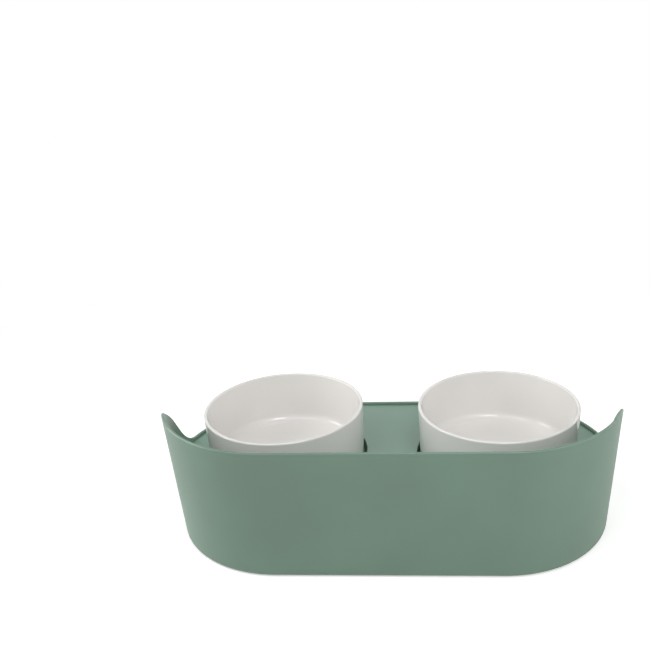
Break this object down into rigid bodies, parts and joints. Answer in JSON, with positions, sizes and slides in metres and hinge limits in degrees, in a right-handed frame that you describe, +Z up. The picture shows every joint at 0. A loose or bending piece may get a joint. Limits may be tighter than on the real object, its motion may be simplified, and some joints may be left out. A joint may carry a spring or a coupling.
{
  "type": "double pet bowl",
  "caption": "Low stand with a tall curved guard wall and ear-like ends, holding a pair of round ceramic bowls that lift out of pockets in its deck.",
  "frame": {"origin": "on the floor, under the middle of the whole object's box", "axes": "+Z up; +X to the right when facing the tall guard wall; the tall wall faces -Y and the low wall, where the animal eats, faces +Y"},
  "size_m": [0.365, 0.1906, 0.112],
  "materials": {
    "tub_plastic": "fine satin texture from the mould, sage green",
    "tray_plastic": "fine satin texture from the mould, sage green",
    "bowl_glaze": "smooth white glaze, bare ring underneath",
    "foot_rubber": "matte moulded rubber",
    "screw_steel": "bright zinc plate"
  },
  "bodies": {
    "stand": {"stand_tub": "tub_plastic", "deck_tray": "tray_plastic", "front_left_foot": "foot_rubber", "front_right_foot": "foot_rubber", "back_left_foot": "foot_rubber", "back_right_foot": "foot_rubber", "tray_screws": "screw_steel"},
    "left_bowl": {"left_bowl": "bowl_glaze"},
    "right_bowl": {"right_bowl": "bowl_glaze"}
  },
  "joints": [
    {"name": "left_bowl_lift", "type": "slide", "parent": "stand", "child": "left_bowl", "axis": [0, 0, 1], "range_m": [0, 0.09]},
    {"name": "right_bowl_lift", "type": "slide", "parent": "stand", "child": "right_bowl", "axis": [0, 0, 1], "range_m": [0, 0.09]}
  ]
}
